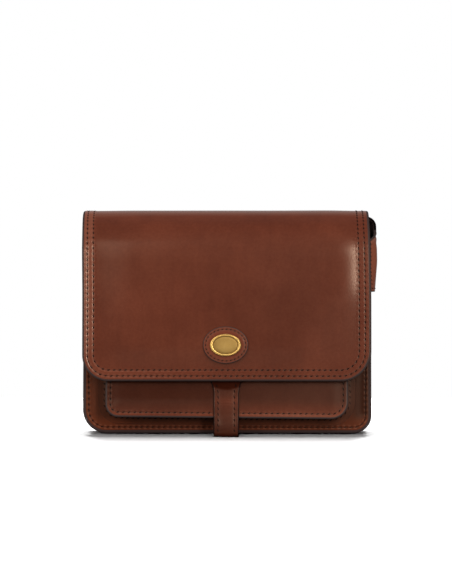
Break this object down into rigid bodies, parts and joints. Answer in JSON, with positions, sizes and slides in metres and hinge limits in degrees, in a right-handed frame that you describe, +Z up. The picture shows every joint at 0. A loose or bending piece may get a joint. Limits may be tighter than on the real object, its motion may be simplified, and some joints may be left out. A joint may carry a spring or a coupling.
{
  "type": "leather shoulder bag",
  "caption": "Structured leather shoulder bag with a fold-over flap, a raised front pocket, a closing strap under the base, an oval badge and side loops for a shoulder strap.",
  "frame": {"origin": "on the floor in the middle of the bag's width and depth, on the underside of the closing strap", "axes": "+X to the right as the flap is faced, -Y out of the front, +Z up"},
  "size_m": [0.2531, 0.0769, 0.1905],
  "materials": {
    "polished_leather": "polished brown leather with dark painted edges",
    "body_leather": "smooth brown leather, less polished",
    "brass": "antique cast brass"
  },
  "bodies": {
    "root": {"back_panel": "body_leather", "front_panel": "body_leather", "gusset": "body_leather", "pocket_gusset": "body_leather", "pocket_face": "polished_leather", "flap": "polished_leather", "closing_strap": "polished_leather", "closure_stud": "brass", "badge_patch": "polished_leather", "badge_plate": "brass", "strap_loop_left": "polished_leather", "strap_loop_right": "polished_leather"}
  },
  "joints": []
}
